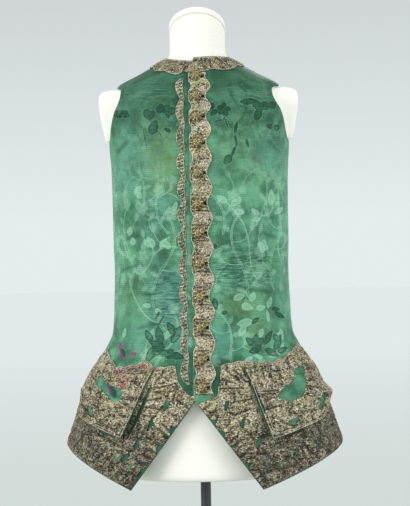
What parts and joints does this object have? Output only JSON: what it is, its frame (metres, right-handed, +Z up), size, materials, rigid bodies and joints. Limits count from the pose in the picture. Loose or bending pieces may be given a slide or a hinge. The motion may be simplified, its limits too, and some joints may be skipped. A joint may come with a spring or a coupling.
{
  "type": "waistcoat on dress form",
  "caption": "Long sleeveless waistcoat of green silk damask with wide metal lace, domed gilt buttons, pocket flaps and cut-away skirts, on a limbless dress form with a round base.",
  "frame": {"origin": "centre of the stand base's underside, on the floor", "axes": "+Z up the pole, -Y towards the front of the waistcoat, +X towards the wearer's left"},
  "size_m": [0.508, 0.34, 1.156],
  "materials": {
    "silk": "lustrous green silk damask, faded and stained",
    "lace": "tarnished gold and silver metal thread lace",
    "button": "worn gilt thread over a domed mould",
    "form_cover": "smooth matte cream cover",
    "stand_steel": "dark satin"
  },
  "bodies": {
    "root": {"front_left": "silk", "front_right": "silk", "back_left": "silk", "back_right": "silk", "pocket_flap_left": "silk", "pocket_flap_right": "silk", "front_lace_left": "lace", "front_lace_right": "lace", "neck_lace_left": "lace", "neck_lace_right": "lace", "skirt_lace_left": "lace", "skirt_lace_right": "lace", "flap_lace_left": "lace", "flap_lace_right": "lace", "button_01": "button", "button_02": "button", "button_03": "button", "button_04": "button", "button_05": "button", "button_06": "button", "button_07": "button", "button_08": "button", "button_09": "button", "button_10": "button", "button_11": "button", "button_12": "button", "form_torso": "form_cover", "form_neck_cap": "form_cover", "stand_pole": "stand_steel", "stand_base": "stand_steel"}
  },
  "joints": []
}
